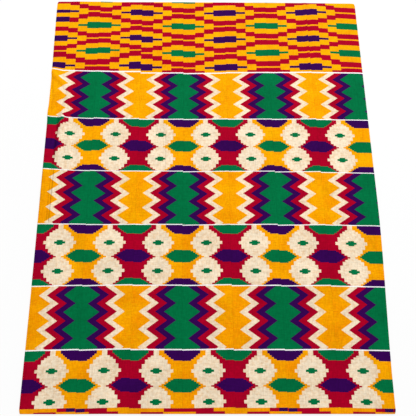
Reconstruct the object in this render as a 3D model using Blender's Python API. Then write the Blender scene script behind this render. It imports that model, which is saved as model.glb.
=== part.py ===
"""A length of printed kente cotton, folded back and forth into a flat stack of six layers.

The cloth's own width runs along Y, so its two selvedges are the stack's near and far ends and
its folds are the left and right sides. The last end is turned under the top layer on the left,
so both sides of the top layer end in a fold. Metres, +Z up, with the origin in the middle of the
flat underside. A share is how far a place lies from the near end, 0, to the far end, 1.
"""

import math
from typing import NamedTuple

import bmesh
import bpy

# The folded stack
WIDTH = 0.934
LENGTH = 1.183
LAYERS = 6
TOP = LAYERS - 1

# The sheet, and how far one layer lies above the next
SHEET = 0.001
GAP = 0.001
PITCH = SHEET + GAP
FOLD_REACH = SHEET + GAP / 2.0

# The outline: the left side runs straight inward to the viewer, the right side eases inward
LEFT_TAPER = 0.024
RIGHT_TAPER = 0.015
RIGHT_TAPER_SHARE = 0.52

# The slope by which the top layer comes down from the turned-under end
TUCK_SLOPE = 0.080

# Soft creases where the strips of the print meet. They lean a little to the left going back
STRIP = 0.1273
FIRST_STRIP = -0.318
STRIP_LINES = 6
LEAN = 0.0145
CREASE_HEIGHT = 0.0005
CREASE_HALF = 0.016
STRONG_CREASE_HEIGHT = 0.0012
STRONG_CREASE_LINE = 5
STRONG_CREASE_FROM = 0.28

# One soft pleat near the left side, which bends towards the middle at its far end
PLEAT_X = -0.413
PLEAT_BEND = 0.029
PLEAT_BEND_FROM = 0.185
PLEAT_NEAR = 0.05
PLEAT_FAR = 0.32
PLEAT_FADE = 0.06
PLEAT_HEIGHT = 0.002
PLEAT_HALF = 0.014

# The layers don't lie quite level: long, low waves, each layer's a little further along
WAVE_HEIGHT = 0.00022
WAVE_LENGTH_X = 0.61
WAVE_LENGTH_Y = 0.83
WAVE_LAG = 0.21

# Mesh steps
ROWS = 16
FOLD_STEPS = 6
TUCK_STEPS = 3
RIDGE_STOPS = (-1.0, -0.5, 0.0, 0.5, 1.0)

CLOTH_COLOUR = (0.90, 0.32, 0.01, 1.0)
CLOTH_ROUGHNESS = 0.85


class Turn(NamedTuple):
    """Where the cloth turns back or ends, measured inward from the outline in metres."""

    side: int  # -1 is left, 1 is right
    near_inset: float  # of the fold, at the near end
    far_inset: float  # of the fold, at the far end
    near_short: float  # of the near selvedge
    far_short: float  # of the far selvedge


# From the bottom end up to the top layer's left fold
TURNS = (
    Turn(side=-1, near_inset=0.0050, far_inset=0.0030, near_short=0.0020, far_short=0.0030),
    Turn(side=1, near_inset=0.0035, far_inset=0.0015, near_short=0.0030, far_short=0.0090),
    Turn(side=-1, near_inset=0.0020, far_inset=0.0035, near_short=0.0010, far_short=0.0015),
    Turn(side=1, near_inset=0.0010, far_inset=0.0030, near_short=0.0025, far_short=0.0095),
    Turn(side=-1, near_inset=0.0035, far_inset=0.0010, near_short=0.0015, far_short=0.0020),
    Turn(side=1, near_inset=0.0000, far_inset=0.0000, near_short=0.0000, far_short=0.0070),
    Turn(side=-1, near_inset=0.0000, far_inset=0.0000, near_short=0.0000, far_short=0.0000),
)
TUCKED_END = Turn(side=-1, near_inset=0.120, far_inset=0.126, near_short=0.0010, far_short=0.0015)


def ease(amount):
    """Goes smoothly from 0 to 1 as the amount does."""
    amount = min(max(amount, 0.0), 1.0)
    return (1.0 - math.cos(math.pi * amount)) / 2.0


def blend(a, b, along):
    return a + (b - a) * along


def plain_y(share):
    return blend(-LENGTH / 2.0, LENGTH / 2.0, share)


def cloth_y(first, last, along, share):
    """Y at a share of the cloth's width, part of the way along it from one turn to the next."""
    near = blend(first.near_short, last.near_short, along)
    far = blend(first.far_short, last.far_short, along)
    return blend(-LENGTH / 2.0 + near, LENGTH / 2.0 - far, share)


def side_x(side, share):
    """The outline's left or right side."""
    if side < 0:
        return -WIDTH / 2.0 + LEFT_TAPER * (1.0 - share)
    return WIDTH / 2.0 - RIGHT_TAPER * (1.0 - ease(share / RIGHT_TAPER_SHARE))


def turn_x(turn, share):
    """The outermost line of a fold, or of a free end."""
    return side_x(turn.side, share) - turn.side * blend(turn.near_inset, turn.far_inset, share)


def flat_end_x(turn, share):
    """Where a layer stops being flat and starts to turn."""
    return turn_x(turn, share) - turn.side * FOLD_REACH


def strip_line_x(line, y):
    return FIRST_STRIP + STRIP * line - LEAN * y


def pleat_x(y):
    return PLEAT_X + PLEAT_BEND * ease((y - PLEAT_BEND_FROM) / (PLEAT_FAR - PLEAT_BEND_FROM))


def ridge(distance, half):
    """A soft ridge of height 1, half as wide on each side of its line."""
    return 1.0 - ease(abs(distance) / half)


def relief(x, y):
    """How far the creases and the pleat raise the top layer."""
    height = 0.0
    for line in range(STRIP_LINES):
        strong = line == STRONG_CREASE_LINE and y > STRONG_CREASE_FROM
        crease = STRONG_CREASE_HEIGHT if strong else CREASE_HEIGHT
        height += crease * ridge(x - strip_line_x(line, y), CREASE_HALF)
    fade = ease((y - PLEAT_NEAR) / PLEAT_FADE) * ease((PLEAT_FAR - y) / PLEAT_FADE)
    return height + PLEAT_HEIGHT * fade * ridge(x - pleat_x(y), PLEAT_HALF)


def wave(level, x, y):
    """How far a layer lies above or below its own level. The bottom layer lies flat."""
    turns = x / WAVE_LENGTH_X + y / WAVE_LENGTH_Y + WAVE_LAG * level
    return WAVE_HEIGHT * min(level, 1.0) * math.sin(2.0 * math.pi * turns)


def sheet_z(level, x, share):
    """The middle of the sheet. Each layer follows the creases more than the one below."""
    y = plain_y(share)
    return SHEET / 2.0 + PITCH * level + wave(level, x, y) + relief(x, y) * (level / LAYERS) ** 2


def layer_level(layer, x, share):
    """A layer's level. The top layer is one higher where it lies on the turned-under end."""
    if layer < TOP:
        return layer
    return LAYERS - ease((x - turn_x(TUCKED_END, share)) / TUCK_SLOPE)


def layer_stops(layer, y):
    """The places across a layer that need a point of their own."""
    lines = [strip_line_x(line, y) for line in range(STRIP_LINES)]
    if layer < TOP - 1:
        return lines
    creases = [line + CREASE_HALF * stop for line in lines for stop in RIDGE_STOPS]
    pleat = [pleat_x(y) + PLEAT_HALF * stop for stop in RIDGE_STOPS]
    return pleat + creases


def layer_points(layer, share):
    """The flat run of a layer, from one turn to the next."""
    first, last = TURNS[layer], TURNS[layer + 1]
    start, end = flat_end_x(first, share), flat_end_x(last, share)
    stops = sorted(layer_stops(layer, plain_y(share)), reverse=end < start)
    points = []
    for x in [start, *stops, end]:
        y = cloth_y(first, last, (x - start) / (end - start), share)
        points.append((x, y, sheet_z(layer_level(layer, x, share), x, share)))
    return points


def fold_points(turn, start_z, end_z, share):
    """The round of a fold, without the two flat ends that it joins."""
    x, y = flat_end_x(turn, share), cloth_y(turn, turn, 0.0, share)
    radius = abs(end_z - start_z) / 2.0
    points = []
    for step in range(1, FOLD_STEPS):
        angle = math.pi * step / FOLD_STEPS
        z = blend(start_z, end_z, (1.0 - math.cos(angle)) / 2.0)
        points.append((x + turn.side * radius * math.sin(angle), y, z))
    return points


def tuck_points(share):
    """The last end, turned under the top layer."""
    fold = TURNS[-1]
    start, end = flat_end_x(fold, share), turn_x(TUCKED_END, share)
    points = []
    for step in range(TUCK_STEPS + 1):
        along = step / TUCK_STEPS
        x = blend(start, end, along)
        points.append((x, cloth_y(fold, TUCKED_END, along, share), sheet_z(TOP, x, share)))
    return points


def section(share):
    """The middle line of the folded sheet, from its bottom end to its tucked one."""
    runs = [layer_points(layer, share) for layer in range(LAYERS)]
    runs.append(tuck_points(share))
    points = list(runs[0])
    for turn, run, following in zip(TURNS[1:], runs, runs[1:]):
        points += fold_points(turn, run[-1][2], following[0][2], share)
        points += following
    return points


def cloth_material():
    material = bpy.data.materials.new("printed_cotton")
    material.use_nodes = True
    shader = material.node_tree.nodes["Principled BSDF"]
    shader.inputs["Base Color"].default_value = CLOTH_COLOUR
    shader.inputs["Roughness"].default_value = CLOTH_ROUGHNESS
    shader.inputs["Metallic"].default_value = 0.0
    return material


def kente_cloth():
    """The whole length of cloth: a grid laid along the folded section, then given its thickness."""
    sections = [section(row / ROWS) for row in range(ROWS + 1)]
    columns = len(sections[0])
    bm = bmesh.new()
    bmesh.ops.create_grid(bm, x_segments=columns - 1, y_segments=ROWS)
    for index, vertex in enumerate(bm.verts):
        row, column = divmod(index, columns)
        vertex.co = sections[row][column]
    mesh = bpy.data.meshes.new("kente_cloth")
    bm.to_mesh(mesh)
    bm.free()
    mesh.shade_smooth()
    mesh.materials.append(cloth_material())
    cloth = bpy.data.objects.new("kente_cloth", mesh)
    thickness = cloth.modifiers.new("thickness", "SOLIDIFY")
    thickness.thickness = SHEET
    thickness.offset = 0.0
    thickness.use_even_offset = True
    thickness.use_quality_normals = True
    bpy.context.scene.collection.objects.link(cloth)


def main():
    for old in list(bpy.data.objects):
        bpy.data.objects.remove(old)
    kente_cloth()


main()
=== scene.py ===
"""Dresses the folded kente cloth with thin printed cotton, and gives it a floor, light and camera.

Metres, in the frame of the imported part: +Y runs away from the viewer along the folds and +X to
the right. The printed sizes are in millimetres. A share is how far a place lies from the cloth's
near end, 0, to its far end, 1.
"""

import math
from typing import NamedTuple

import bmesh
import bpy
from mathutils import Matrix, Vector, noise


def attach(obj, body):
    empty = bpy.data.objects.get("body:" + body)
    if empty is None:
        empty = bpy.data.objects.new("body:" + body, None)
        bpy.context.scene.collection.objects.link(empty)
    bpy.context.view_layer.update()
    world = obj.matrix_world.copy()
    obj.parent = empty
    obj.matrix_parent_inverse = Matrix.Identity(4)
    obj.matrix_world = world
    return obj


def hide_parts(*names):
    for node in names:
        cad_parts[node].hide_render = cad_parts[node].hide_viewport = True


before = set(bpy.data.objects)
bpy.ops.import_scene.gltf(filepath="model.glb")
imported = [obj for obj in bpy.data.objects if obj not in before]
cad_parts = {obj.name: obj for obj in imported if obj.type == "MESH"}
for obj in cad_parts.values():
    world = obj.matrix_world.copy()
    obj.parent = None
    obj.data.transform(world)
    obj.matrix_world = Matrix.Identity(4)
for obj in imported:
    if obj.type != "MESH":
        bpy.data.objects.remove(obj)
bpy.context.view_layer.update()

# The folded stack, as the part's own sizes give it
WIDTH = 0.934
LENGTH = 1.183
LAYERS = 6
TOP = LAYERS - 1
LEVEL_STEP = 0.00205
LEFT_TAPER = 0.024
LEFT_BOW = 0.0025
LEFT_BOW_NEAR = 0.4  # what is left of the bow at the near end
LEFT_BOW_SHARE = 0.25
FAR_BOW = 0.0022
RIGHT_TAPER = 0.0148
RIGHT_TAPER_SHARE = 0.46
TUCK_SLOPE = 0.080
CORNER_SHARE = 0.006
CORNER_INSET = 0.0022

# The cotton, and how a fold's edge rolls down before it turns
THICKNESS = 0.0006
FOLD_REACH = 0.0015
EDGE_ROLL = 0.006
EDGE_DROP = 0.0014

# The strips of the print lean a little to the left going back, and sway a little
STRIP = 0.1273
FIRST_STRIP = -0.318
SEAMS = range(7)
LEAN = 0.0145
SWAY = 0.0012
SWAY_SHIFT = 0.02

# The far left strips are pulled further left, by so much for each metre past a place, and a
# little to the right at the near end
LEFT_PULL = 0.0265
LEFT_PULL_X = -0.20
LEFT_PULL_Y = (-0.345, -0.225)
LEFT_PULL_NEAR = -0.25

# The right strips are drawn in at the near end, the ones further right sooner
NEAR_PULL = 0.0145
NEAR_PULL_X = -0.05
NEAR_PULL_Y = (-0.42, -0.64)
NEAR_PULL_SLANT = 0.38

# The middle strips lie a little to the right at the far end, the far right ones a little to the left
FAR_PUSH = 0.0025
FAR_PUSH_X = (-0.30, 0.15)
FAR_PUSH_Y = (0.44, 0.54)
FAR_PULL_X = (0.30, 0.44)
FAR_PULL_Y = (0.30, 0.36)

# Low waves, each layer's a little further along, and the fine unevenness of pressed cloth
WAVE_HEIGHT = 0.00022
WAVE_LENGTH_X = 0.61
WAVE_LENGTH_Y = 0.83
WAVE_LAG = 0.21
PUCKER_HEIGHT = 0.00040
PUCKER_SIZE = 0.040
PUCKER_SLICE = 0.5  # of the noise that they follow

# A crease fades out over this many of its half widths
FADE_RATIO = 3.0
STRIP_CREASE_HALF = 0.015  # of those between strips of the print

# Mesh steps. The selvedges get two close rows of points, so that their edges stay crisp
ROWS = 148
SELVEDGE_SHARES = (0.0008, 0.003)
STRIP_STEPS = 18
LEFT_STEPS = 64
RIGHT_STEPS = 4
TOP_STEPS = RIGHT_STEPS + STRIP_STEPS * (len(SEAMS) - 1) + LEFT_STEPS
HIDDEN_STEPS = 10
FOLD_STEPS = 8
TUCK_STEPS = 8

# How much of the baked texture each part of the sheet gets for its length
SHOWN_WEIGHT = 1.0
BOTTOM_WEIGHT = 0.25
TUCK_WEIGHT = 0.1
HIDDEN_WEIGHT = 0.03


class Turn(NamedTuple):
    """Where the cloth turns back or ends, measured inward from the outline."""

    side: int  # -1 is left, 1 is right
    near_inset: float  # of the fold, at the near end
    far_inset: float  # of the fold, at the far end
    near_short: float  # of the near selvedge
    far_short: float  # of the far selvedge


# From the bottom end up to the top layer's left fold
TURNS = (
    Turn(side=-1, near_inset=0.0050, far_inset=0.0030, near_short=0.0020, far_short=0.0030),
    Turn(side=1, near_inset=0.0035, far_inset=0.0015, near_short=0.0030, far_short=0.0090),
    Turn(side=-1, near_inset=0.0020, far_inset=0.0035, near_short=0.0010, far_short=0.0015),
    Turn(side=1, near_inset=0.0010, far_inset=0.0030, near_short=0.0025, far_short=0.0095),
    Turn(side=-1, near_inset=0.0035, far_inset=0.0010, near_short=0.0015, far_short=0.0020),
    Turn(side=1, near_inset=0.0000, far_inset=0.0000, near_short=0.0000, far_short=0.0082),
    Turn(side=-1, near_inset=0.0000, far_inset=0.0000, near_short=0.0000, far_short=0.0024),
)
TUCKED_END = Turn(side=-1, near_inset=0.120, far_inset=0.126, near_short=0.0010, far_short=0.0015)


class Crease(NamedTuple):
    """A soft ridge, or a trough where its height is below 0, straight from one place to another."""

    near_x: float
    near_y: float
    far_x: float
    far_y: float
    height: float
    half: float


def strip_crease(line, near_y, far_y, height):
    """A crease along the line where two strips of the print meet."""
    x = FIRST_STRIP + STRIP * line
    return Crease(x - LEAN * near_y, near_y, x - LEAN * far_y, far_y, height, STRIP_CREASE_HALF)


CREASES = (
    strip_crease(line=0, near_y=-0.62, far_y=0.62, height=0.0005),
    strip_crease(line=1, near_y=-0.62, far_y=0.30, height=0.0006),
    strip_crease(line=1, near_y=0.33, far_y=0.62, height=0.0003),
    strip_crease(line=2, near_y=-0.62, far_y=0.62, height=0.0004),
    strip_crease(line=3, near_y=-0.62, far_y=0.62, height=0.0005),
    strip_crease(line=4, near_y=-0.62, far_y=0.62, height=0.0005),
    strip_crease(line=5, near_y=-0.62, far_y=0.30, height=0.0005),
    strip_crease(line=5, near_y=0.30, far_y=0.62, height=0.0012),
    strip_crease(line=6, near_y=-0.40, far_y=0.62, height=0.0004),
    # The pleat near the left side: a sharp valley and the ridge beside it
    Crease(near_x=-0.424, near_y=0.150, far_x=-0.411, far_y=0.285, height=-0.0014, half=0.009),
    Crease(near_x=-0.428, near_y=0.085, far_x=-0.425, far_y=0.150, height=-0.0012, half=0.008),
    Crease(near_x=-0.414, near_y=0.085, far_x=-0.412, far_y=0.190, height=0.0036, half=0.015),
    Crease(near_x=-0.411, near_y=0.190, far_x=-0.399, far_y=0.270, height=0.0034, half=0.016),
    # Drawn folds left of it, which run together at the far left
    Crease(near_x=-0.422, near_y=0.300, far_x=-0.455, far_y=0.335, height=0.0036, half=0.011),
    Crease(near_x=-0.460, near_y=0.190, far_x=-0.432, far_y=0.265, height=0.0044, half=0.012),
    Crease(near_x=-0.448, near_y=0.215, far_x=-0.456, far_y=0.320, height=-0.0020, half=0.007),
    # Dents in the two medallions on the pleat
    Crease(near_x=-0.368, near_y=0.040, far_x=-0.382, far_y=0.170, height=-0.0013, half=0.014),
    Crease(near_x=-0.400, near_y=0.105, far_x=-0.345, far_y=0.098, height=-0.0008, half=0.012),
    Crease(near_x=-0.352, near_y=0.060, far_x=-0.358, far_y=0.150, height=0.0010, half=0.012),
    # Sharper creases down the left side
    Crease(near_x=-0.424, near_y=-0.125, far_x=-0.423, far_y=0.015, height=-0.0010, half=0.004),
    Crease(near_x=-0.436, near_y=-0.120, far_x=-0.440, far_y=0.020, height=0.0008, half=0.006),
    Crease(near_x=-0.437, near_y=-0.560, far_x=-0.443, far_y=-0.130, height=-0.0008, half=0.004),
    # Faint ripples across the near right medallions
    Crease(near_x=0.235, near_y=-0.548, far_x=0.400, far_y=-0.541, height=0.0003, half=0.006),
    Crease(near_x=0.250, near_y=-0.524, far_x=0.370, far_y=-0.528, height=0.0003, half=0.006),
)


# The print, in mm from here to the light, but for the places that a comment gives in metres
MM = 1000.0  # in a metre
PRINT_SOFT = 0.5


class Band(NamedTuple):
    """One of the bands from the far selvedge to the near one, with a white line between two."""

    kind: str
    far: float  # the line at its far side, across the cloth
    near: float
    row: float = 21.0  # of a zigzag
    line: float = 1.2  # half of the white line at its far side


BANDS = (
    Band(kind="basket", far=600.0, near=333.9),
    Band(kind="zigzags", far=333.9, near=181.3, row=20.4, line=1.75),
    Band(kind="medallions", far=181.3, near=21.4, line=1.25),
    Band(kind="zigzags", far=21.4, near=-130.3, row=20.6, line=1.1),
    Band(kind="medallions", far=-130.3, near=-290.1, line=1.15),
    Band(kind="zigzags", far=-290.1, near=-446.0, row=21.1, line=1.3),
    Band(kind="medallions", far=-446.0, near=-582.5, line=1.4),
    Band(kind="border", far=-582.5, near=-604.0),
)
BORDER_MIDDLE = -590.5

# Seams run across the cloth every strip: green columns lie on every second one, others between them
SEAM_PITCH = STRIP * MM
FIRST_GREEN_SEAM = FIRST_STRIP * MM
GREEN_BLOCK_HALF = 36.4
PURPLE_BLOCK_HALF = 35.0


class Drift(NamedTuple):
    """How far the seven strips' prints lie beyond the chart, from the left, at a place across."""

    across: float
    strips: tuple


DRIFTS = (
    Drift(across=560.0, strips=(6.0, 2.0, 0.0, -1.0, 1.0, 1.0, 5.8)),
    Drift(across=480.0, strips=(2.0, 5.0, 0.5, -1.0, 2.5, 2.0, 4.6)),
    Drift(across=405.0, strips=(8.5, 12.5, 1.5, -2.0, 2.0, 4.0, 7.0)),
    Drift(across=335.0, strips=(2.0, 3.5, 0.0, -1.5, 1.5, 2.0, 1.5)),
    Drift(across=258.0, strips=(-1.5, 1.0, 0.0, -0.5, 0.5, 2.0, 0.5)),
    Drift(across=101.0, strips=(-3.0, 1.0, 0.0, 0.5, 0.5, -1.0, -2.0)),
    Drift(across=-54.0, strips=(-1.5, -0.5, 2.0, -1.0, 0.5, -1.0, -4.0)),
    Drift(across=-140.0, strips=(0.0, 0.0, 0.5, -0.5, 0.5, -1.0, -1.0)),
    Drift(across=-210.0, strips=(0.5, 0.5, -0.5, 0.0, -0.5, -1.5, -2.5)),
    Drift(across=-368.0, strips=(0.5, 0.0, 0.5, 0.5, -1.0, -1.0, -2.5)),
    Drift(across=-490.0, strips=(0.0, 0.0, -1.5, -1.0, -1.0, -1.0, -0.5)),
    Drift(across=-526.0, strips=(2.0, 2.0, 1.0, 1.5, 2.0, 1.5, 1.0)),
    Drift(across=-563.0, strips=(5.0, 4.5, 3.5, 4.5, 4.5, 4.5, 4.5)),
)

# How far each strip's right side lies beyond its left one
TILTS = (0.5, 2.2, 0.0, 2.4, 0.8, 1.6, 0.0)

# At the left the print lies nearer by the near end and farther past the middle, by the square of
# the distance from a place, and at the right it lies nearer, most in the basket band. These and
# the next two blocks give the drifts in mm and the places in metres
LEFT_RISE_NEAR = -3.0
LEFT_RISE_FAR = 8.5
LEFT_RISE_X = -0.16
LEFT_RISE_REACH = 0.253
LEFT_RISE_LIMIT = 0.30
LEFT_RISE_Y = (-0.30, 0.08)
LEFT_RISE_END_Y = (0.31, 0.38)
RIGHT_DROOP = 1.5
RIGHT_DROOP_BASKET = 4.6
RIGHT_DROOP_X = 0.33
RIGHT_DROOP_REACH = 0.080
RIGHT_DROOP_LIMIT = 0.13
BASKET_Y = (0.34, 0.36)

# The left end of the first white line lies farther where the drawn folds run together
CORNER_RISE = 7.0
CORNER_RISE_X = (-0.422, -0.457)
CORNER_RISE_Y = 0.335
CORNER_RISE_REACH = 0.055

# In the basket band the print lies farther just before the sixth seam, and nearer just past it.
# The shares are of a strip
NOTCH_SEAM = 5
NOTCH_RISE = 2.6
NOTCH_RISE_SHARE = 0.08
NOTCH_DROP = 3.0
NOTCH_DROP_SHARE = 0.14

# The basket band: where purple blocks lie, and how far it is from them to the green blocks between
PURPLE_ROW = 450.0
ROW_STEP = 48.75


class BasketEdge(NamedTuple):
    """How far an ink reaches to both sides of a row, on the blocks and on the arms beside them."""

    block: float
    arm: float


RED_REACH = BasketEdge(block=46.4, arm=38.9)
ORANGE_REACH = BasketEdge(block=28.4, arm=22.0)
BLOCK_REACH = BasketEdge(block=11.2, arm=3.7)

# The far left block, which is printed out of turn
ODD_BLOCK_EDGE = -90.9
ODD_BLOCK_FAR = 562.0
ODD_BLOCK_NEAR = 494.0


class Row(NamedTuple):
    """A purple row of the odd block."""

    middle: float
    half: float


ODD_ROWS = (Row(middle=547.8, half=5.6), Row(middle=519.5, half=9.0))

# The zigzags: the first turn lies just past a line, and each row swings out and back
ZIGZAG_START = 2.7
ZIGZAG_SWING = 30.2
GREEN_HALF = 15.0
PURPLE_HALF = 38.0
RED_HALF = 59.6
CREAM_HALF = 79.4


class Step(NamedTuple):
    """A step of a toothed outline: up to this edge, the outline reaches this far."""

    edge: float
    reach: float


# The medallions' two rows lie this far from the line beyond them, with the hexagons between
MEDALLIONS_DEPTH = 160.0
FIRST_ROW = 48.9
SECOND_ROW = 122.9
HEXAGON_ROW = 84.0
NECK_HALF = 6.4
NOTHING = -2.0  # a reach that paints nothing
MEDALLION = (Step(4.0, 41.7), Step(15.8, 34.9), Step(26.0, 27.5), Step(31.0, 20.4), Step(35.0, 13.3))
LOZENGE = (Step(2.9, 14.2), Step(6.7, 7.7))
HEXAGON = (Step(22.5, 16.4), Step(29.0, 13.2), Step(34.5, 9.6), Step(39.5, 5.8), Step(44.5, 2.1))
FAR_CAP = (Step(21.8, 25.3), Step(28.5, 21.9), Step(34.0, 17.6), Step(39.0, 13.5), Step(44.4, 9.2))
NEAR_CAP = (Step(22.2, 18.0), Step(29.4, 14.4), Step(34.5, 11.2), Step(39.5, 7.9), Step(45.0, 4.4))

# The border's rows: where each run of red or orange ends, in shares of a whole repeat. In the far
# row a short purple run, parted by a thin red line, lies on each green seam but one, which is red
FAR_ROW_RUNS = (0.295, 0.825)
NEAR_ROW_RUNS = (0.125, 0.40, 0.61, 0.82)
RUN_SOFT = 0.002
PURPLE_RUN_HALF = 22.0
PARTING_HALF = 1.5
RED_RUN_HALF = 30.0

# The inks as printed
GREEN = (0.000, 0.154, 0.048, 1.0)
PURPLE = (0.033, 0.001, 0.076, 1.0)
RED = (0.385, 0.000, 0.017, 1.0)
CREAM = (0.900, 0.755, 0.555, 1.0)
TAN = (0.780, 0.530, 0.310, 1.0)
YELLOW = (0.930, 0.425, 0.000, 1.0)
ORANGE = (0.890, 0.280, 0.000, 1.0)
BARE = (0.950, 0.930, 0.930, 1.0)


class Mark(NamedTuple):
    """A dark line along the strips, and how dark it is: some are brown lines that old creases left, with
    painted shade of those creases in them, and some are painted shade alone.
    """

    along: float
    half: float
    far: float
    near: float
    depth: float


MARKS = (
    Mark(along=-112.5, half=1.1, far=185.0, near=25.0, depth=0.16),
    Mark(along=-119.0, half=1.1, far=185.0, near=60.0, depth=0.10),
    # Brown lines down the left side where old creases lie, darkened further with painted crease shade
    Mark(along=-416.0, half=1.4, far=22.0, near=-128.0, depth=0.38),
    Mark(along=-422.0, half=1.4, far=22.0, near=-128.0, depth=0.26),
    # Painted shade where the left fold rolls down
    Mark(along=-447.0, half=1.8, far=22.0, near=-128.0, depth=0.36),
    # Painted shade in the valley of the pleat
    Mark(along=-419.5, half=3.0, far=185.0, near=35.0, depth=0.42),
)
MARK_SOFT = 1.9  # in its half widths
MARK_END_SOFT = 20.0


class Speck(NamedTuple):
    """The size of a noise's specks, and how many finer noises they carry."""

    along: float
    across: float
    detail: float = 2.0


# How the rows wander, by half a mm at most, and how far the orange goes to yellow and the cream to tan.
# The orange also gets yellower towards the far end, by 1 over a length, and yellower, so lighter,
# towards each strip's right side: that is painted light and shade, as though each strip were tilted
WANDER = Speck(along=45.0, across=45.0)
CLOUD = Speck(along=60.0, across=42.0, detail=4.0)
FLECK = Speck(along=5.0, across=4.0)
MOTTLE = Speck(along=8.0, across=7.0, detail=6.0)
YELLOW_SHARE = 0.45
YELLOW_BY_STRIP_PAINTED_LIGHT = 0.15
YELLOW_BY_CLOUD = 1.6
YELLOW_BY_FLECK = 1.6
YELLOW_LENGTH = 2800.0
TAN_FROM = 0.41
TAN_BY_MOTTLE = 2.6
TAN_BY_CLOUD = 1.2

# Slubs, uneven dye and painted shade along the creases at the seams, and how much darker or lighter they
# make the print
WARP_SLUB = Speck(along=24.0, across=1.3, detail=3.0)
WEFT_SLUB = Speck(along=1.3, across=24.0, detail=3.0)
BROAD_WARP_SLUB = Speck(along=16.0, across=3.2, detail=3.0)
BROAD_WEFT_SLUB = Speck(along=3.2, across=16.0)
DYE = Speck(along=70.0, across=70.0, detail=4.0)
SLUB_SHADE = 0.26
BROAD_SLUB_SHADE = 0.46
DYE_SHADE = 0.42
SEAM_PAINTED_SHADE = 0.10
SEAM_SHADE_HALF = 0.7

# The pitch of the weave, and how high its threads and slubs stand
THREAD_PITCH = 0.45
THREAD_HEIGHT = 0.008
SLUB_HEIGHT = 0.05

# How rough the cotton is, how much a slub changes that, and how much it shines
ROUGHNESS = 0.86
SLUB_ROUGHNESS = 0.08
SPECULAR = 0.03

# Light, floor and camera, in metres again, but the sensor in mm
WORLD_COLOUR = (1.0, 1.0, 1.0, 1.0)
WORLD_STRENGTH = 0.43
LAMP_PLACE = (0.95, 3.9, 3.3)
LAMP_SIZE = 1.85
LAMP_POWER = 279.0
FLOOR_SIZE = 12.0
FLOOR_COLOUR = (0.10, 0.10, 0.10, 1.0)
FLOOR_GLOW = (0.89, 0.89, 0.89, 1.0)
CAMERA_PLACE = (0.006, -0.394, 1.094)
CAMERA_TILT = math.radians(15.96)
PHOTO_WIDTH = 416.0
FOCAL_PIXELS = 417.0
SENSOR_WIDTH = 36.0
CAMERA_REACH = 50.0


def ease(amount):
    """Goes smoothly from 0 to 1 as the amount does."""
    amount = min(max(amount, 0.0), 1.0)
    return (1.0 - math.cos(math.pi * amount)) / 2.0


def passing(value, start, end):
    """Goes smoothly from 0 to 1 as a value goes from the start to the end."""
    return ease((value - start) / (end - start))


def blend(a, b, along):
    return a + (b - a) * along


# The cloth's shape


def row_shares():
    """Where the rows of points lie, from the near end to the far one."""
    inner = [row / ROWS for row in range(1, ROWS)]
    near = [0.0, *SELVEDGE_SHARES]
    return near + inner + [1.0 - share for share in reversed(near)]


def plain_y(share):
    return blend(-LENGTH / 2.0, LENGTH / 2.0, share)


def cloth_y(first, last, along, share):
    """Y at a share of the cloth's width, part of the way along it from one turn to the next."""
    near = blend(first.near_short, last.near_short, along)
    far = blend(first.far_short, last.far_short, along) - FAR_BOW * math.sin(math.pi * along)
    return blend(-LENGTH / 2.0 + near, LENGTH / 2.0 - far, share)


def side_x(side, share):
    """The outline's left or right side."""
    if side < 0:
        near_bow = blend(LEFT_BOW_NEAR, 1.0, ease(share / LEFT_BOW_SHARE))
        bow = LEFT_BOW * ease((1.0 - share) / LEFT_BOW_SHARE) * near_bow
        return -WIDTH / 2.0 + LEFT_TAPER * (1.0 - share) + bow
    return WIDTH / 2.0 - RIGHT_TAPER * (1.0 - ease(share / RIGHT_TAPER_SHARE))


def turn_x(turn, share):
    """The outermost line of a fold or of a free end, drawn in at the soft corners."""
    corner = 1.0 - ease(min(share, 1.0 - share) / CORNER_SHARE)
    inset = blend(turn.near_inset, turn.far_inset, share) + CORNER_INSET * corner
    return side_x(turn.side, share) - turn.side * inset


def flat_end_x(turn, share):
    """Where a layer stops being flat and starts to turn."""
    return turn_x(turn, share) - turn.side * FOLD_REACH


def crease_height(crease, x, y):
    """A crease's own height at a place: soft across its line, and faded out past its ends."""
    run_x, run_y = crease.far_x - crease.near_x, crease.far_y - crease.near_y
    from_x, from_y = x - crease.near_x, y - crease.near_y
    length = math.hypot(run_x, run_y)
    across = abs(run_x * from_y - run_y * from_x) / length
    if across >= crease.half:
        return 0.0
    along = (run_x * from_x + run_y * from_y) / length
    fade_length = crease.half * FADE_RATIO
    fade = ease(1.0 + along / fade_length) * ease(1.0 + (length - along) / fade_length)
    return crease.height * fade * (1.0 - ease(across / crease.half))


def relief(x, y):
    """How far the creases and puckers raise or lower the top layer."""
    pucker = noise.noise(Vector((x / PUCKER_SIZE, y / PUCKER_SIZE, PUCKER_SLICE)))
    return PUCKER_HEIGHT * pucker + sum(crease_height(crease, x, y) for crease in CREASES)


def wave(level, x, y):
    """How far a layer lies above or below its own level. The bottom layer lies flat."""
    turns = x / WAVE_LENGTH_X + y / WAVE_LENGTH_Y + WAVE_LAG * level
    return WAVE_HEIGHT * min(level, 1.0) * math.sin(2.0 * math.pi * turns)


def sheet_z(level, x, share):
    """The middle of the sheet. Each layer follows the creases more than the one below."""
    y = plain_y(share)
    follow = (level / LAYERS) ** 2
    raised = relief(x, y) * follow if level > 0 else 0.0
    return THICKNESS / 2.0 + LEVEL_STEP * level + wave(level, x, y) + raised


def layer_level(layer, x, share):
    """A layer's level. The top layer is one higher where it lies on the turned-under end."""
    if layer < TOP:
        return layer
    return LAYERS - ease((x - turn_x(TUCKED_END, share)) / TUCK_SLOPE)


def edge_drop(x, share):
    """How far the top layer rolls down towards its two folds."""
    left = x - turn_x(TURNS[-1], share)
    right = turn_x(TURNS[-2], share) - x
    return EDGE_DROP * (1.0 - ease(min(left, right) / EDGE_ROLL))


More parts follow.
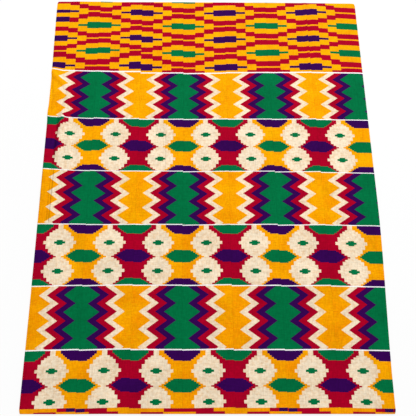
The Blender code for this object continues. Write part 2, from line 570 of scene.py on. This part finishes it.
def seam_x(seam, y):
    """Where the line between two strips of the print lies on the top layer."""
    x = FIRST_STRIP + STRIP * seam
    sway = SWAY * math.sin(2.0 * math.pi * (y + SWAY_SHIFT))
    left_pull = LEFT_PULL * max(LEFT_PULL_X - x, 0.0)
    left_pull *= blend(LEFT_PULL_NEAR, 1.0, passing(y, *LEFT_PULL_Y))
    near_pull = NEAR_PULL * max(x - NEAR_PULL_X, 0.0) * passing(y - NEAR_PULL_SLANT * x, *NEAR_PULL_Y)
    far_push = FAR_PUSH * passing(x, *FAR_PUSH_X) * passing(y, *FAR_PUSH_Y)
    far_pull = FAR_PUSH * passing(x, *FAR_PULL_X) * passing(y, *FAR_PULL_Y)
    return x - LEAN * y + sway - left_pull - near_pull + far_push - far_pull


def top_columns(share):
    """X of the top layer's points from right to left: evenly in each whole strip and beside them."""
    marks = [flat_end_x(TURNS[-2], share)]
    marks += [seam_x(seam, plain_y(share)) for seam in reversed(SEAMS)]
    marks.append(flat_end_x(TURNS[-1], share))
    counts = [RIGHT_STEPS] + [STRIP_STEPS] * (len(SEAMS) - 1) + [LEFT_STEPS]
    columns = marks[:1]
    for first, last, steps in zip(marks, marks[1:], counts):
        columns += [blend(first, last, (step + 1) / steps) for step in range(steps)]
    return columns


class Place(NamedTuple):
    """A point of the sheet's middle, and its weight in the map that textures are baked to."""

    at: Vector
    weight: float


def layer_places(layer, share):
    """The flat run of a layer, from one turn to the next."""
    first, last = TURNS[layer], TURNS[layer + 1]
    start, end = flat_end_x(first, share), flat_end_x(last, share)
    weight = {0: BOTTOM_WEIGHT, TOP: SHOWN_WEIGHT}.get(layer, HIDDEN_WEIGHT)
    columns = [blend(start, end, step / HIDDEN_STEPS) for step in range(HIDDEN_STEPS + 1)]
    if layer == TOP:
        columns = top_columns(share)
    places = []
    for x in columns:
        along = (x - start) / (end - start)
        z = sheet_z(layer_level(layer, x, share), x, share)
        z -= edge_drop(x, share) if layer == TOP else 0.0
        places.append(Place(Vector((x, cloth_y(first, last, along, share), z)), weight))
    return places


def fold_places(turn, start_z, end_z, share):
    """The round of a fold, without the two flat ends that it joins."""
    x, y = flat_end_x(turn, share), cloth_y(turn, turn, 0.0, share)
    radius = FOLD_REACH - THICKNESS / 2.0
    places = []
    for step in range(1, FOLD_STEPS):
        angle = math.pi * step / FOLD_STEPS
        z = blend(start_z, end_z, (1.0 - math.cos(angle)) / 2.0)
        out = turn.side * radius * math.sin(angle)
        places.append(Place(Vector((x + out, y, z)), SHOWN_WEIGHT))
    return places


def tuck_places(share):
    """The last end, turned under the top layer."""
    fold = TURNS[-1]
    start, end = flat_end_x(fold, share), turn_x(TUCKED_END, share)
    places = []
    for step in range(TUCK_STEPS + 1):
        along = step / TUCK_STEPS
        x = blend(start, end, along)
        y = cloth_y(fold, TUCKED_END, along, share)
        places.append(Place(Vector((x, y, sheet_z(TOP, x, share))), TUCK_WEIGHT))
    return places


def section(share):
    """The middle line of the folded sheet, from its bottom end to its tucked one."""
    runs = [layer_places(layer, share) for layer in range(LAYERS)]
    runs.append(tuck_places(share))
    places = list(runs[0])
    for turn, run, following in zip(TURNS[1:], runs, runs[1:]):
        places += fold_places(turn, run[-1].at.z, following[0].at.z, share)
        places += following
    return places


def right_seam_column(columns):
    """The column of the seam furthest right on the top layer."""
    top_start = columns - (TUCK_STEPS + 1) - (FOLD_STEPS - 1) - (TOP_STEPS + 1)
    return top_start + RIGHT_STEPS


def print_lengths(places):
    """Each point's place along the print: even between seams, and by the cloth's length past them."""
    first = right_seam_column(len(places))
    last = first + STRIP_STEPS * (len(SEAMS) - 1)
    runs = [0.0]
    for one, other in zip(places, places[1:]):
        runs.append(runs[-1] + (other.at - one.at).length)
    y = places[last].at.y
    left_rate = STRIP / (seam_x(0, y) - seam_x(-1, y))
    right_seam = FIRST_STRIP + STRIP * SEAMS[-1]
    lengths = []
    for index, run in enumerate(runs):
        if index < first:
            lengths.append(right_seam + runs[first] - run)
        elif index > last:
            lengths.append(FIRST_STRIP + (runs[last] - run) * left_rate)
        else:
            lengths.append(right_seam - STRIP * (index - first) / STRIP_STEPS)
    return lengths


def strip_of(column, columns):
    """Which strip a column of faces lies on, from 0 left of the first seam to 6 right of the sixth."""
    strips_past = (column - right_seam_column(columns)) // STRIP_STEPS
    last = len(SEAMS) - 1
    return min(max(last - strips_past, 0), last)


def notch_drift(strip, from_middle):
    """How much farther or nearer the print lies beside the sixth seam, in the basket band."""
    if strip == NOTCH_SEAM:
        return NOTCH_RISE * passing(from_middle, 0.5 - NOTCH_RISE_SHARE, 0.5)
    if strip == NOTCH_SEAM + 1:
        return -NOTCH_DROP * passing(from_middle, NOTCH_DROP_SHARE - 0.5, -0.5)
    return 0.0


def strip_drift(strip, across):
    """How far the whole strip's print lies beyond the chart at a place across the cloth."""
    for far, near in zip(DRIFTS, DRIFTS[1:]):
        if across > near.across:
            share = (across - near.across) / (far.across - near.across)
            return blend(near.strips[strip], far.strips[strip], min(share, 1.0))
    return DRIFTS[-1].strips[strip]


def side_drift(x, y):
    """How much farther or nearer the print lies at the left and right sides of the cloth."""
    left = min(max(LEFT_RISE_X - x, 0.0), LEFT_RISE_LIMIT) / LEFT_RISE_REACH
    right = min(max(x - RIGHT_DROOP_X, 0.0), RIGHT_DROOP_LIMIT) / RIGHT_DROOP_REACH
    rise = blend(LEFT_RISE_NEAR, LEFT_RISE_FAR, passing(y, *LEFT_RISE_Y))
    rise *= 1.0 - passing(y, *LEFT_RISE_END_Y)
    droop = blend(RIGHT_DROOP, RIGHT_DROOP_BASKET, passing(y, *BASKET_Y))
    corner = passing(x, *CORNER_RISE_X) * (1.0 - ease(abs(y - CORNER_RISE_Y) / CORNER_RISE_REACH))
    return left**2 * rise - right * droop + CORNER_RISE * corner


def print_drift(strip, x, y, along):
    """How far a strip's print lies beyond the chart at a place, in metres."""
    from_middle = (along - FIRST_STRIP) / STRIP - (strip - 0.5)
    drift = strip_drift(strip, y * MM) + TILTS[strip] * from_middle + side_drift(x, y)
    drift += notch_drift(strip, from_middle) * passing(y, *BASKET_Y)
    return drift / MM


def bake_coordinates(places):
    """Where each point's column lies in the map that textures are baked to, from 0 to 1."""
    runs = [0.0]
    for first, second in zip(places, places[1:]):
        weight = min(first.weight, second.weight)
        runs.append(runs[-1] + (second.at - first.at).length * weight)
    return [run / runs[-1] for run in runs]


def folded_cloth():
    """The cotton: a grid laid along the folded section, then given its thickness."""
    shares = row_shares()
    sections = [section(share) for share in shares]
    columns = len(sections[0])
    lengths = [print_lengths(places) for places in sections]
    baked = bake_coordinates(sections[len(shares) // 2])
    bm = bmesh.new()
    bmesh.ops.create_grid(bm, x_segments=columns - 1, y_segments=len(shares) - 1)
    print_map = bm.loops.layers.uv.new("cloth")
    bake_map = bm.loops.layers.uv.new("OFBake")
    for index, vertex in enumerate(bm.verts):
        row, column = divmod(index, columns)
        vertex.co = sections[row][column].at
    bm.verts.index_update()
    for face in bm.faces:
        face.smooth = True
        strip = strip_of(min(vertex.index % columns for vertex in face.verts), columns)
        for loop in face.loops:
            row, column = divmod(loop.vert.index, columns)
            at = loop.vert.co
            along = lengths[row][column]
            loop[print_map].uv = (along, at.y - print_drift(strip, at.x, at.y, along))
            loop[bake_map].uv = (baked[column], shares[row])
    mesh = bpy.data.meshes.new("printed_cotton")
    bm.to_mesh(mesh)
    bm.free()
    cloth = bpy.data.objects.new("printed_cotton", mesh)
    bpy.context.scene.collection.objects.link(cloth)
    thickness = cloth.modifiers.new("thickness", "SOLIDIFY")
    thickness.thickness = THICKNESS
    thickness.offset = 0.0
    thickness.use_even_offset = True
    return cloth


# Shading


class Value:
    """An output of a material's nodes. Arithmetic on it adds Math nodes."""

    def __init__(self, tree, socket):
        self.tree = tree
        self.socket = socket

    def math(self, operation, *others, clamp=False):
        """A Math node of this value and the others."""
        node = self.tree.nodes.new("ShaderNodeMath")
        node.operation = operation
        node.use_clamp = clamp
        for slot, value in zip(node.inputs, (self, *others)):
            if isinstance(value, Value):
                self.tree.links.new(value.socket, slot)
            else:
                slot.default_value = value
        return Value(self.tree, node.outputs[0])

    def __add__(self, other):
        return self.math("ADD", other)

    def __mul__(self, other):
        return self.math("MULTIPLY", other)

    def __sub__(self, other):
        return self.math("SUBTRACT", other)

    def __rsub__(self, other):
        return self.math("MULTIPLY_ADD", -1.0, other)

    def __truediv__(self, other):
        return self.math("DIVIDE", other)

    def __abs__(self):
        return self.math("ABSOLUTE")

    def under(self, edge, soft=PRINT_SOFT):
        """1 where this value is under the edge and 0 where it is over, across a soft width."""
        return (edge - self).math("MULTIPLY_ADD", 1.0 / soft, 0.5, clamp=True)

    def least(self, other):
        return self.math("MINIMUM", other)

    def limited(self):
        """This value, kept from 0 to 1."""
        return self.math("ADD", 0.0, clamp=True)

    def fraction(self):
        return self.math("FRACT")

    def sine(self):
        return self.math("SINE")

    def to_and_fro(self, length):
        """How far this value is from the nearest even multiple of a length."""
        return self.math("PINGPONG", length)


class Nodes:
    """A material's nodes, with a method for those that aren't sums."""

    def __init__(self, material):
        material.use_nodes = True
        self.tree = material.node_tree
        self.shader = self.tree.nodes["Principled BSDF"]

    def feed(self, node, name, value):
        """Gives the enabled input of that name a link or a value."""
        slot = next(slot for slot in node.inputs if slot.name == name and slot.enabled)
        if isinstance(value, Value):
            self.tree.links.new(value.socket, slot)
        else:
            slot.default_value = value

    def add(self, kind, settings=None, output=0, **inputs):
        """A node of any kind, its settings made first, and one of its outputs."""
        node = self.tree.nodes.new(kind)
        for name, setting in (settings or {}).items():
            setattr(node, name, setting)
        for name, value in inputs.items():
            self.feed(node, name, value)
        return Value(self.tree, node.outputs[output])

    def paint(self, colour, mask, ink, way="MIX"):
        """An ink over a colour, where the mask is 1."""
        settings = {"data_type": "RGBA", "blend_type": way}
        return self.add("ShaderNodeMix", settings, output=2, Factor=mask, A=colour, B=ink)

    def shade(self, colour, brightness):
        """A colour made darker or lighter."""
        grey = self.add("ShaderNodeCombineColor", Red=brightness, Green=brightness, Blue=brightness)
        return self.paint(colour, 1.0, grey, way="MULTIPLY")

    def noise(self, along, across, speck):
        """Noise that averages a half, in specks of a size."""
        place = self.add("ShaderNodeCombineXYZ", X=along / speck.along, Y=across / speck.across)
        return self.add("ShaderNodeTexNoise", Vector=place, Scale=1.0, Detail=speck.detail)


def stepped(value, outline, beyond):
    """How far a toothed outline reaches at a value, and past its last edge."""
    total = beyond
    following = beyond
    for step in reversed(outline):
        total = value.under(step.edge) * (step.reach - following) + total
        following = step.reach
    return total


class Chart(NamedTuple):
    """Where a place of the cloth lies in the print, and the two inks that vary."""

    along: Value  # from the first green seam, to the right
    across: Value  # towards the far selvedge
    from_green: Value  # from the nearest green seam
    from_seam: Value  # from the nearest seam of either kind
    in_green: Value  # 1 in the half repeat round a green seam
    down: Value  # from the white line beyond
    row: Value  # how deep a zigzag's row is
    orange: Value
    cream: Value


def chart_of(nodes, along, across):
    """Finds a place in the print, whose rows wander a little."""
    along = along - FIRST_GREEN_SEAM
    from_green = along.to_and_fro(SEAM_PITCH)
    across = across + (nodes.noise(along, across, WANDER) - 0.5)
    nearest_first = tuple(reversed(BANDS))
    far_line = stepped(across, [Step(band.far, band.far) for band in nearest_first], beyond=BANDS[0].far)
    row = stepped(across, [Step(band.far, band.row) for band in nearest_first], beyond=BANDS[0].row)
    cloud = nodes.noise(along, across, CLOUD) - 0.5
    fleck = nodes.noise(along, across, FLECK) - 0.5
    # The rise towards each strip's right side is painted light and shade
    yellow = (along / SEAM_PITCH).fraction() * YELLOW_BY_STRIP_PAINTED_LIGHT + across / YELLOW_LENGTH + YELLOW_SHARE
    yellow = cloud * YELLOW_BY_CLOUD + fleck * YELLOW_BY_FLECK + yellow
    mottle = nodes.noise(along, across, MOTTLE) - TAN_FROM
    tan = mottle * TAN_BY_MOTTLE + cloud * TAN_BY_CLOUD
    return Chart(
        along=along,
        across=across,
        from_green=from_green,
        from_seam=along.to_and_fro(SEAM_PITCH / 2.0),
        in_green=from_green.under(SEAM_PITCH / 2.0),
        down=far_line - across,
        row=row,
        orange=nodes.paint(ORANGE, yellow.limited(), YELLOW),
        cream=nodes.paint(CREAM, tan.limited(), TAN),
    )


def basket(nodes, chart):
    """Rows of blocks with thin arms, purple and green by turns, in stepped red on orange."""
    from_purple = (chart.across - PURPLE_ROW).to_and_fro(ROW_STEP)
    from_row = from_purple + chart.in_green * (from_purple * -2.0 + ROW_STEP)
    block_half = chart.in_green * (GREEN_BLOCK_HALF - PURPLE_BLOCK_HALF) + PURPLE_BLOCK_HALF
    on_block = chart.from_seam.under(block_half)
    block_ink = nodes.paint(PURPLE, chart.in_green, GREEN)
    colour = chart.orange
    for reach, ink in ((RED_REACH, RED), (ORANGE_REACH, chart.orange), (BLOCK_REACH, block_ink)):
        edge = on_block * (reach.block - reach.arm) + reach.arm
        colour = nodes.paint(colour, from_row.under(edge), ink)
    odd = chart.across.under(ODD_BLOCK_FAR) - chart.across.under(ODD_BLOCK_NEAR)
    odd = odd * chart.along.under(ODD_BLOCK_EDGE)
    colour = nodes.paint(colour, odd, chart.orange)
    for row in ODD_ROWS:
        colour = nodes.paint(colour, abs(chart.across - row.middle).under(row.half) * odd, PURPLE)
    return colour


def zigzags(nodes, chart):
    """Upright zigzags to both sides of a green column: purple, red and cream, on orange."""
    swing = (chart.down - ZIGZAG_START).to_and_fro(chart.row) / chart.row * ZIGZAG_SWING
    out = chart.from_green - swing
    inks = ((CREAM_HALF, chart.cream), (RED_HALF, RED), (PURPLE_HALF, PURPLE), (GREEN_HALF, GREEN))
    colour = chart.orange
    for edge, ink in inks:
        colour = nodes.paint(colour, out.under(edge), ink)
    return colour


def medallions(nodes, chart):
    """Two rows of toothed medallions, with hexagons and caps on the columns between them."""
    hexagon = abs(chart.down - HEXAGON_ROW).under(stepped(chart.from_seam, HEXAGON, beyond=NOTHING))
    far_cap = chart.down.under(stepped(chart.from_seam, FAR_CAP, beyond=NOTHING))
    up = MEDALLIONS_DEPTH - chart.down
    near_cap = up.under(stepped(chart.from_seam, NEAR_CAP, beyond=NOTHING))
    off_middle = abs(chart.from_green - SEAM_PITCH / 2.0)
    off_row = abs(chart.down - FIRST_ROW).least(abs(chart.down - SECOND_ROW))
    medallion = off_middle.under(stepped(off_row, MEDALLION, beyond=NECK_HALF))
    lozenge = off_middle.under(stepped(off_row, LOZENGE, beyond=NOTHING))
    colour = nodes.paint(RED, chart.in_green, chart.orange)
    colour = nodes.paint(colour, hexagon, nodes.paint(PURPLE, chart.in_green, GREEN))
    cap_ink = nodes.paint(GREEN, chart.in_green, PURPLE)
    colour = nodes.paint(colour, (far_cap + near_cap).limited(), cap_ink)
    colour = nodes.paint(colour, medallion, chart.cream)
    return nodes.paint(colour, lozenge, GREEN)


def runs_of_ink(nodes, chart, edges, inks):
    """Two inks by turns along a row. Each run ends at its edge."""
    share = (chart.along / (SEAM_PITCH * 2.0)).fraction()
    colour = inks[len(edges) % 2]
    for index, edge in reversed(tuple(enumerate(edges))):
        colour = nodes.paint(colour, share.under(edge, soft=RUN_SOFT), inks[index % 2])
    return colour


def border(nodes, chart):
    """The two thin rows along the near selvedge, where the next band starts."""
    far_row = runs_of_ink(nodes, chart, FAR_ROW_RUNS, (RED, chart.orange))
    far_row = nodes.paint(far_row, chart.from_green.under(PURPLE_RUN_HALF), PURPLE)
    far_row = nodes.paint(far_row, chart.from_green.under(PARTING_HALF), RED)
    from_red_seam = abs(chart.along - SEAM_PITCH * 2.0)
    far_row = nodes.paint(far_row, from_red_seam.under(RED_RUN_HALF), RED)
    near_row = runs_of_ink(nodes, chart, NEAR_ROW_RUNS, (chart.orange, RED))
    return nodes.paint(far_row, chart.across.under(BORDER_MIDDLE), near_row)


def printed_colour(nodes, chart):
    """The colour of the whole print: each kind of band painted where it lies, then the white lines."""
    colour = basket(nodes, chart)
    for kind in (zigzags, medallions, border):
        inside = 0.0
        for band in BANDS:
            if band.kind == kind.__name__:
                inside = chart.across.under(band.far) - chart.across.under(band.near) + inside
        colour = nodes.paint(colour, inside.limited(), kind(nodes, chart))
    lines = 0.0
    for band in BANDS[1:-1]:
        lines = abs(chart.across - band.far).under(band.line) + lines
    return nodes.paint(colour, lines.limited(), BARE)


def cotton_material():
    """Printed plain-weave cotton: its inks, uneven dye, slubs, brown crease lines, painted shade along
    the creased seams and in the folds and pleat, and weave.
    """
    material = bpy.data.materials.new("printed_cotton")
    nodes = Nodes(material)
    place = nodes.add("ShaderNodeUVMap", {"uv_map": "cloth"})
    along = nodes.add("ShaderNodeSeparateXYZ", output=0, Vector=place) * MM
    across = nodes.add("ShaderNodeSeparateXYZ", output=1, Vector=place) * MM
    chart = chart_of(nodes, along, across)
    colour = printed_colour(nodes, chart)

    warp_slubs = nodes.noise(along, across, WARP_SLUB) - 0.5
    weft_slubs = nodes.noise(along, across, WEFT_SLUB) - 0.5
    broad_slubs = nodes.noise(along, across, BROAD_WARP_SLUB) - 0.5
    broad_slubs = nodes.noise(along, across, BROAD_WEFT_SLUB) - 0.5 + broad_slubs
    dye = nodes.noise(along, across, DYE) - 0.5
    # Painted shade along the creases at the seams, then the dark lines: brown crease lines, and painted
    # shade in the creases, the pleat and the left fold
    marks_and_painted_shade = chart.from_seam.under(SEAM_SHADE_HALF, soft=SEAM_SHADE_HALF * 2.0) * SEAM_PAINTED_SHADE
    for mark in MARKS:
        inside = across.under(mark.far, MARK_END_SOFT) - across.under(mark.near, MARK_END_SOFT)
        line = abs(along - mark.along).under(mark.half, soft=mark.half * MARK_SOFT)
        marks_and_painted_shade = line * inside * mark.depth + marks_and_painted_shade
    uneven = (warp_slubs + weft_slubs) * SLUB_SHADE + broad_slubs * BROAD_SLUB_SHADE + dye * DYE_SHADE
    colour = nodes.shade(colour, uneven + 1.0 - marks_and_painted_shade)

    turn = 2.0 * math.pi / THREAD_PITCH
    threads = (along * turn).sine() * (across * turn).sine()
    height = threads * THREAD_HEIGHT + (warp_slubs + weft_slubs) * SLUB_HEIGHT
    bump = nodes.add("ShaderNodeBump", Strength=1.0, Distance=1.0 / MM, Height=height)
    roughness = (warp_slubs - weft_slubs) * SLUB_ROUGHNESS + ROUGHNESS
    nodes.feed(nodes.shader, "Base Color", colour)
    nodes.feed(nodes.shader, "Roughness", roughness)
    nodes.feed(nodes.shader, "Normal", bump)
    nodes.feed(nodes.shader, "Specular IOR Level", SPECULAR)
    return material


def floor_material():
    """A pale matt floor."""
    material = bpy.data.materials.new("pale_floor")
    nodes = Nodes(material)
    nodes.feed(nodes.shader, "Base Color", FLOOR_COLOUR)
    nodes.feed(nodes.shader, "Emission Color", FLOOR_GLOW)
    nodes.feed(nodes.shader, "Emission Strength", 1.0)
    nodes.feed(nodes.shader, "Roughness", 1.0)
    nodes.feed(nodes.shader, "Specular IOR Level", 0.0)
    return material


# The studio


def pale_floor():
    """A wide plain floor that the cloth lies on."""
    bm = bmesh.new()
    bmesh.ops.create_grid(bm, x_segments=1, y_segments=1, size=FLOOR_SIZE / 2.0)
    mesh = bpy.data.meshes.new("pale_floor")
    bm.to_mesh(mesh)
    bm.free()
    floor = bpy.data.objects.new("pale_floor", mesh)
    bpy.context.scene.collection.objects.link(floor)
    floor.data.materials.append(floor_material())


def back_lamp():
    """A large square lamp past the cloth's far side, to the right, which faces the cloth's middle."""
    lamp = bpy.data.lights.new("back_lamp", "AREA")
    lamp.shape = "SQUARE"
    lamp.size = LAMP_SIZE
    lamp.energy = LAMP_POWER
    light = bpy.data.objects.new("back_lamp", lamp)
    light.location = LAMP_PLACE
    light.rotation_euler = (-Vector(LAMP_PLACE)).to_track_quat("-Z", "Y").to_euler()
    bpy.context.scene.collection.objects.link(light)


def studio():
    """White surroundings and one soft lamp."""
    world = bpy.data.worlds.new("studio")
    world.use_nodes = True
    background = world.node_tree.nodes["Background"]
    background.inputs["Color"].default_value = WORLD_COLOUR
    background.inputs["Strength"].default_value = WORLD_STRENGTH
    bpy.context.scene.world = world
    back_lamp()
    bpy.context.scene.view_settings.view_transform = "Standard"


def camera():
    """The camera of the photograph, steeply above the near part of the cloth."""
    data = bpy.data.cameras.new("camera")
    data.sensor_width = SENSOR_WIDTH
    data.lens = FOCAL_PIXELS / PHOTO_WIDTH * SENSOR_WIDTH
    data.clip_end = CAMERA_REACH
    view = bpy.data.objects.new("camera", data)
    view.location = CAMERA_PLACE
    view.rotation_euler = (CAMERA_TILT, 0.0, 0.0)
    bpy.context.scene.collection.objects.link(view)
    bpy.context.scene.camera = view


def main():
    camera()
    studio()
    pale_floor()
    cloth = folded_cloth()
    cloth.data.materials.append(cotton_material())
    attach(cloth, "root")
    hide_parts("kente_cloth")


main()
